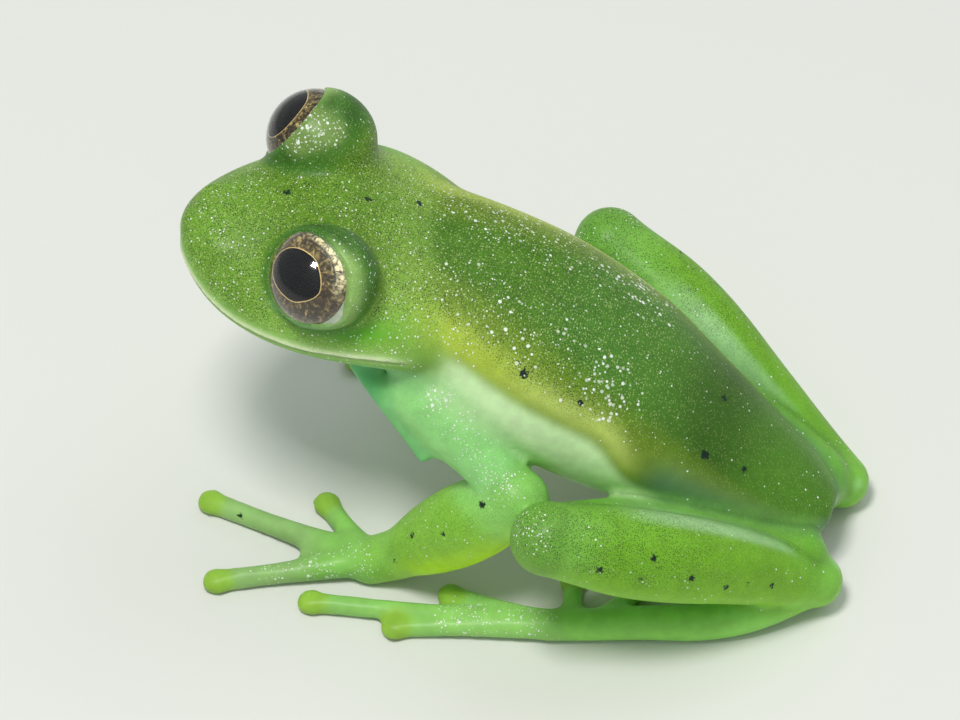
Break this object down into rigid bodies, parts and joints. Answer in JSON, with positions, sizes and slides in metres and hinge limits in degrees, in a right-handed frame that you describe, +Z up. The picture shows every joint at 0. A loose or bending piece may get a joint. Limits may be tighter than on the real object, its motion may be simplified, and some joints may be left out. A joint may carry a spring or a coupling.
{
  "type": "glass frog",
  "caption": "Still, life-size glass frog that sits with folded legs and a slightly turned head, resting on flats under its hands and feet.",
  "frame": {"origin": "middle of the area the frog covers, on the floor it sits on", "axes": "+Z up, the body faces -X, the frog's own left side is -Y"},
  "size_m": [0.0234, 0.0169, 0.0155],
  "materials": {
    "back_skin": "moist, fine-grained green skin with tiny pale and dark dots",
    "limb_skin": "moist, slightly see-through pale green skin",
    "eye": "wet, glossy eye with a mottled brown-gold iris and a dark pupil"
  },
  "bodies": {
    "root": {"head": "back_skin", "trunk": "back_skin", "eye_left": "eye", "eye_right": "eye", "upper_arm_left": "limb_skin", "forearm_left": "limb_skin", "hand_left": "limb_skin", "thigh_left": "limb_skin", "shank_left": "limb_skin", "tarsus_left": "limb_skin", "foot_left": "limb_skin", "upper_arm_right": "limb_skin", "forearm_right": "limb_skin", "hand_right": "limb_skin", "thigh_right": "limb_skin", "shank_right": "limb_skin", "tarsus_right": "limb_skin", "foot_right": "limb_skin"}
  },
  "joints": []
}
